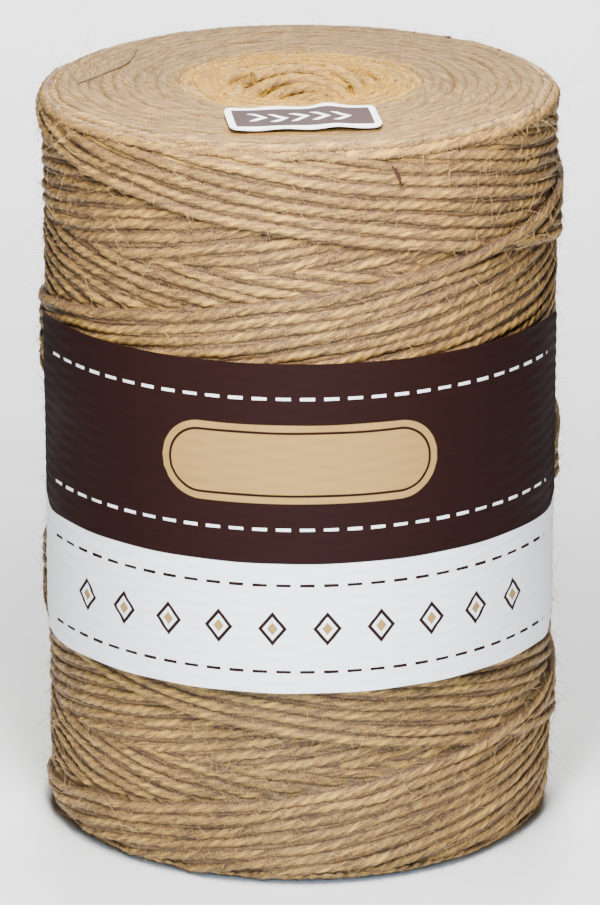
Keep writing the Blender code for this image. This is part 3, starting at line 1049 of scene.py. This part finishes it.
def build_core():
    """A closed body under the strands, ridged as the lower turns are."""
    columns = CORE_COLUMNS
    rings = [[(ROLL_RADIUS - inset, height)] * columns for inset, height in CORE_FOOT_RINGS]
    for row in range(CORE_ROWS + 1):
        height = CORE_LOW + (CORE_HIGH - CORE_LOW) * row / CORE_ROWS
        rings.append([(under_radius(math.tau * column / columns, height), height)
                      for column in range(columns)])
    for radius in CORE_TOP_RADII:
        rings.append([(radius, FACE_HEIGHT - CORE_TOP_GAP)] * columns)
    for radius, height, _tilt in wall_profile():
        rings.append([(radius + CORE_WALL_GAPS[0], height - CORE_WALL_GAPS[1])] * columns)
    vertices = []
    yarns = []
    for ring in rings:
        for column, (radius, height) in enumerate(ring):
            angle = math.tau * column / columns
            vertices.append(around(angle, radius, height))
            yarns.append((angle * ROLL_RADIUS, height, radius))
    last = (len(rings) - 1) * columns
    faces = []
    for row in range(0, last, columns):
        for column in range(columns):
            after = (column + 1) % columns
            faces.append((row + column, row + after, row + columns + after, row + columns + column))
    faces.append(tuple(reversed(range(columns))))
    faces.append(tuple(range(last, last + columns)))
    mesh = bpy.data.meshes.new("inner_turns")
    mesh.from_pydata(vertices, [], faces)
    mesh.shade_smooth()
    mesh.materials.append(JUTE)
    keep_values(mesh, "yarn", yarns)
    keep_values(mesh, "tint", [0.3] * len(vertices))
    # Painted shade, stronger on the side, where it shows between the strands, than under the top
    keep_values(mesh, "relief", [(CORE_PAINTED_SHADE[vertex.z >= FACE_HEIGHT - TOP_SHOULDER], 0.0, 0.0)
                                 for vertex in vertices])
    return new_object("inner_turns", mesh)


# --- The labels ---

def sheet_object(name, columns, rows, place, thickness, material):
    """A closed thin sheet from a grid: place(u, v) gives a point of its inner face and the way out."""
    outer = []
    inner = []
    corners = []
    for row in range(rows + 1):
        for column in range(columns + 1):
            u, v = column / columns, row / rows
            point, out = place(u, v)
            outer.append(point + out * thickness)
            inner.append(point)
            corners.append((u, v))
    width = columns + 1
    total = len(outer)
    faces = []
    for row in range(rows):
        for column in range(columns):
            first = row * width + column
            quad = (first, first + 1, first + width + 1, first + width)
            faces.append(quad)
            faces.append(tuple(total + index for index in reversed(quad)))
    edge = list(range(columns)) + [row * width + columns for row in range(rows)]
    edge += [rows * width + column for column in range(columns, 0, -1)]
    edge += [row * width for row in range(rows, 0, -1)]
    for here, after in zip(edge, edge[1:] + edge[:1]):
        faces.append((after, here, total + here, total + after))
    mesh = bpy.data.meshes.new(name)
    mesh.from_pydata(outer + inner, [], faces)
    layer = mesh.uv_layers.new(name="UVMap")
    for loop in mesh.loops:
        layer.data[loop.index].uv = corners[loop.vertex_index % total]
    mesh.shade_smooth()
    mesh.set_sharp_from_angle(angle=math.radians(40))
    mesh.materials.append(material)
    return new_object(name, mesh)


def corner_loss(from_side, corner):
    """How much a round corner takes off the end of a sheet, at a distance from its side."""
    run_in = max(corner - from_side, 0.0)
    return corner - math.sqrt(max(corner ** 2 - run_in ** 2, 0.0))


def build_front_label():
    """The band lies on the crests of the strands and takes up a little of their unevenness."""

    def place(u, v):
        """A point of the inner face, and the way out."""
        along = (u - 0.5) * BAND_WIDTH
        lift = corner_loss(BAND_WIDTH / 2 - abs(along), BAND_FOOT_CORNER)
        up = band_low[2] + lift + (BAND_HEIGHT - lift) * v
        angle = along / BAND_RADIUS
        ripple = sum(BAND_RIPPLE * math.cos(math.tau * strand) for strand in winding_place(angle, up))
        sag = BAND_SAG * (ROLL_RADIUS - crest_radius(angle, up)) / LAYER_FALL
        return around(angle, ROLL_RADIUS + BAND_LIFT + ripple - sag, up), around(angle, 1.0, 0.0)

    return sheet_object("front_label_sheet", 72, 104, place, BAND_THICKNESS, FRONT_PRINT)


def build_top_label():
    """The small label lies on the end face, a little buckled."""
    centre = ((tag_low[0] + tag_high[0]) / 2, (tag_low[1] + tag_high[1]) / 2)

    def place(u, v):
        """A point of the inner face, and the way out."""
        across = (u - 0.5) * TAG_SIZE[0]
        loss = corner_loss(TAG_SIZE[0] / 2 - abs(across), TAG_CORNER)
        deep = (v - 0.5) * TAG_SIZE[1] * (1 - loss / (TAG_SIZE[1] / 2))
        x = centre[0] + across * math.cos(TAG_TURN) - deep * math.sin(TAG_TURN)
        y = centre[1] + across * math.sin(TAG_TURN) + deep * math.cos(TAG_TURN)
        waves = math.sin(across * TAG_BUCKLE_RATES[0] + 1.0) * math.cos(deep * TAG_BUCKLE_RATES[1])
        fold = math.exp(-((across - TAG_CREASE_PLACE) / TAG_CREASE_WIDTH) ** 2) * (0.5 + v)
        up = tag_low[2] + TAG_LIFT + TAG_BUCKLE * waves + TAG_CREASE * fold
        return Vector((x, y, up)), Vector((0, 0, 1))

    return sheet_object("top_label_sheet", 48, 24, place, TAG_THICKNESS, TOP_PRINT)


# --- Loose fibres ---

def make_hair_tree():
    """Thin curved fibres that stand or lie on a surface."""
    tree, given = new_group(
        "loose_fibres", "GeometryNodeTree",
        {"Surface": "Geometry", "Density": 60000.0, "Shortest": 0.002, "Longest": 0.009,
         "Half Thickness": 0.000055, "Lift": 0.35, "Root Height": -0.0001, "Points": 4,
         "Lean": 0.0, "Aligned Share": 0.0, "Seed": 1, "Finish": "Material"})

    def chance(low, high, seed):
        """A random number for each fibre, from the node's sockets for plain numbers."""
        values = {2: low, 3: high, "Seed": given["Seed"] + float(seed)}
        return tree.add("FunctionNodeRandomValue", values, data_type="FLOAT")[1]

    scatter = tree.add("GeometryNodeDistributePointsOnFaces",
                       {"Mesh": given["Surface"], "Density": given["Density"], "Seed": given["Seed"]})
    normal = scatter["Normal"]
    root = tree.position() + normal * given["Root Height"]
    points = tree.store(tree.store(scatter["Points"], "root", root), "up", normal)
    up = tree.named("up", "FLOAT_VECTOR")
    sideways = tree.calc("NORMALIZE", tree.calc("CROSS_PRODUCT", (0.13, 0.21, 1.0), up))
    across = tree.calc("CROSS_PRODUCT", up, sideways)
    bearing = (chance(-math.pi, math.pi, 11) * (1.0 - given["Aligned Share"]) + given["Lean"]
               + tree.calc("ROUND", chance(0.0, 1.0, 16)) * math.pi)
    flat = sideways * tree.calc("COSINE", bearing) + across * tree.calc("SINE", bearing)
    lift = given["Lift"] * chance(0.1, 1.9, 12)
    grow = tree.calc("NORMALIZE", flat + up * lift)
    bend = (tree.calc("CROSS_PRODUCT", up, flat) * chance(-SIDE_BEND, SIDE_BEND, 13)
            + up * (lift * -LIFT_BEND - DOWN_BEND))
    skew = chance(0.0, 1.0, 14) ** LENGTH_SKEW
    length = given["Shortest"] + skew * (given["Longest"] - given["Shortest"])
    points = tree.store(points, "grow", grow * length)
    points = tree.store(points, "bend", bend * length)
    points = tree.store(points, "tint", chance(0.0, 1.0, 15))

    line = tree.shape("CurvePrimitiveLine")
    line = tree.shape("ResampleCurve", {"Curve": line, "Count": given["Points"]})
    hairs = tree.shape("InstanceOnPoints", {"Points": points, "Instance": line})
    hairs = tree.shape("RealizeInstances", {"Geometry": hairs})
    share = tree.add("GeometryNodeSplineParameter")["Factor"]
    path = tree.named("root", "FLOAT_VECTOR") + tree.named("grow", "FLOAT_VECTOR") * share
    path = path + tree.named("bend", "FLOAT_VECTOR") * (share * share)
    # No fibre goes into the floor
    path = tree.calc("MAXIMUM", path, (-1.0, -1.0, 0.0003))
    hairs = tree.move(hairs, Position=path)
    profile = tree.circle(3, given["Half Thickness"])
    body = tree.sweep(hairs, profile, 1.0 - share * HAIR_TAPER)
    return tree.give_mesh(body, given["Finish"], ("root", "up", "grow", "bend"))


def mesh_of_faces(name, faces):
    """A mesh of separate faces, each given by its corners."""
    mesh = bpy.data.meshes.new(name)
    indices = []
    first = 0
    for face in faces:
        indices.append(tuple(range(first, first + len(face))))
        first += len(face)
    mesh.from_pydata([corner for face in faces for corner in face], [], indices)
    return mesh


def label_gap(place, reach):
    """How far a place on the roll is from the nearer label; it is below zero under one."""
    if place.z > FACE_HEIGHT - TOP_REACH and reach < ROLL_RADIUS - TOP_REACH:
        return max(tag_low[0] - place.x, place.x - tag_high[0], tag_low[1] - place.y, place.y - tag_high[1])
    from_middle = abs(math.atan2(place.x, -place.y)) - BAND_HALF_ANGLE
    return max(band_low[2] - place.z, place.z - band_high[2], from_middle * ROLL_RADIUS)


def bare_faces(pieces):
    """The outward faces of the strands that no label hides.

    First those in and round the hollow, then those on the top or near a label, and then the rest.
    """
    shares = ([], [], [])
    for piece in pieces:
        for polygon in piece.data.polygons:
            middle, normal = polygon.center, polygon.normal
            below_top = FACE_HEIGHT - middle.z
            reach = math.hypot(middle.x, middle.y)
            nest_edge = NEST_EDGE + rng.gauss(0.0, NEST_EDGE_SPREAD)
            near_hollow = reach < nest_edge and middle.z > FACE_HEIGHT - NEST_DEPTH
            on_side = min(reach / (ROLL_RADIUS - TOP_SHOULDER), 1.0) ** RIM_SHARPNESS
            facing = (normal.x * middle.x + normal.y * middle.y) / max(reach, 0.001) * on_side
            facing += normal.z * (1.0 - on_side * smooth_step(below_top / TOP_SHOULDER))
            gap = label_gap(middle, reach)
            clearance = NEST_CLEARANCE if near_hollow else LABEL_CLEARANCE
            if facing > LEAST_FACING and middle.z > LOWEST_ROOT and gap > clearance:
                on_top = reach < ROLL_RADIUS - RIM_REACH and middle.z > FACE_HEIGHT - TOP_REACH
                share = 0 if near_hollow else 1 if gap < LONG_CLEARANCE or on_top else 2
                shares[share].append([piece.data.vertices[index].co for index in polygon.vertices])
    return [mesh_of_faces("bare_faces", faces) for faces in shares]


def build_hairs(pieces):
    """Long fibres that mostly lean one way, short ones that lie with the strands, and a curly nest."""
    tree = make_hair_tree()
    nest, flat_top, surface = bare_faces(pieces)
    top = {"Finish": TOP_HAIR, "Density": 100000.0, "Shortest": 0.0015, "Longest": 0.0035,
           "Half_Thickness": 0.000060, "Lift": 0.25, "Points": 3, "Aligned_Share": 0.4, "Seed": 60}
    short = {**top, "Finish": JUTE_HAIR, "Density": 150000.0, "Longest": 0.0050,
             "Half_Thickness": 0.000050, "Seed": 40}
    long = {**short, "Density": 56000.0, "Shortest": 0.0030, "Longest": 0.0085, "Lift": 0.16, "Points": 4,
            "Lean": -1.05, "Aligned_Share": 0.6, "Seed": 1}
    curly = {"Finish": HOLLOW_HAIR, "Density": 1050000.0, "Shortest": 0.0018, "Longest": 0.0055,
             "Half_Thickness": 0.000060, "Lift": 0.35, "Points": 3, "Seed": 80}
    return [run_tree("long_fibres", surface, tree, **long),
            run_tree("short_fibres", surface.copy(), tree, **short),
            run_tree("top_fibres", flat_top, tree, **top),
            run_tree("hollow_fibres", nest, tree, **curly)]


# --- The studio ---

PICTURE_HEIGHT = 905
FOCAL_PIXELS = 5086.0
SENSOR = 36.0
CAMERA_ELEVATION = math.radians(18.27)
CAMERA_DISTANCE = 1.1693
AIM_HEIGHT = 0.0836
FLOOR_REACH = 3.0


def build_camera():
    """The camera in front of the roll, looking a little down at it."""
    data = bpy.data.cameras.new("camera")
    data.sensor_width = SENSOR
    data.lens = FOCAL_PIXELS * SENSOR / PICTURE_HEIGHT
    camera = new_object("camera", data)
    back = Vector((0, -math.cos(CAMERA_ELEVATION), math.sin(CAMERA_ELEVATION)))
    camera.location = Vector((0, 0, AIM_HEIGHT)) + back * CAMERA_DISTANCE
    camera.rotation_euler = (-back).to_track_quat("-Z", "Y").to_euler()
    bpy.context.scene.camera = camera


def area_light(name, place, aim, size, watts, length=None, colour=(1.0, 1.0, 1.0)):
    """A round soft light, or an upright strip if it has a length."""
    data = bpy.data.lights.new(name, "AREA")
    data.color = colour
    data.shape = "RECTANGLE" if length else "DISK"
    data.size = size
    data.size_y = length or size
    data.energy = watts
    lamp = new_object(name, data)
    lamp.location = place
    lamp.rotation_euler = (Vector(aim) - Vector(place)).to_track_quat("-Z", "Y").to_euler()


def build_studio():
    """A pale floor, a strip light and a cool low light in front, and a wide light over the floor behind."""
    reach = FLOOR_REACH
    mesh = bpy.data.meshes.new("floor")
    mesh.from_pydata([(-reach, -reach, 0), (reach, -reach, 0), (reach, reach, 0), (-reach, reach, 0)],
                     [], [(0, 1, 2, 3)])
    material, *_rest = new_material("floor_white", Base_Color=FLOOR_WHITE, Roughness=0.8,
                                    Specular_IOR_Level=0.1)
    mesh.materials.append(material)
    floor = new_object("floor", mesh)
    world = bpy.data.worlds.new("studio")
    world.use_nodes = True
    background = world.node_tree.nodes["Background"].inputs
    background["Color"].default_value = (0.78, 0.90, 1.0, 1.0)
    background["Strength"].default_value = 0.03
    bpy.context.scene.world = world
    area_light("key", (-0.007, -0.20, 0.32), (0, -0.05, 0.08), size=0.05, length=0.22, watts=3.5,
               colour=(1.0, 0.985, 0.96))
    area_light("low_key", (0.0, -0.18, 0.07), (0, -0.05, 0.03), size=0.06, watts=0.20,
               colour=(0.54, 0.76, 1.0))
    area_light("back_fill", (0.0, 0.95, 0.9), (0.0, 0.35, 0.0), size=0.6, watts=36.0)


# --- Putting it together ---

def finish_piece(piece, slot, *nodes):
    """Say what a piece rides on and which nodes it stands for, which are hidden; its slot is not used."""
    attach(piece, "root")
    if nodes:
        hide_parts(*nodes)


def main():
    """Build every piece, the studio and the camera."""
    core = build_core()
    finish_piece(core, "jute", "twine_roll")
    *shown, covered = build_side()
    shown += build_ends()
    for piece in shown + [covered] + build_bark() + build_hairs(shown):
        finish_piece(piece, "jute")
    finish_piece(build_front_label(), "brown_paper", "front_label")
    finish_piece(build_top_label(), "white_paper", "top_label")
    build_studio()
    build_camera()


main()
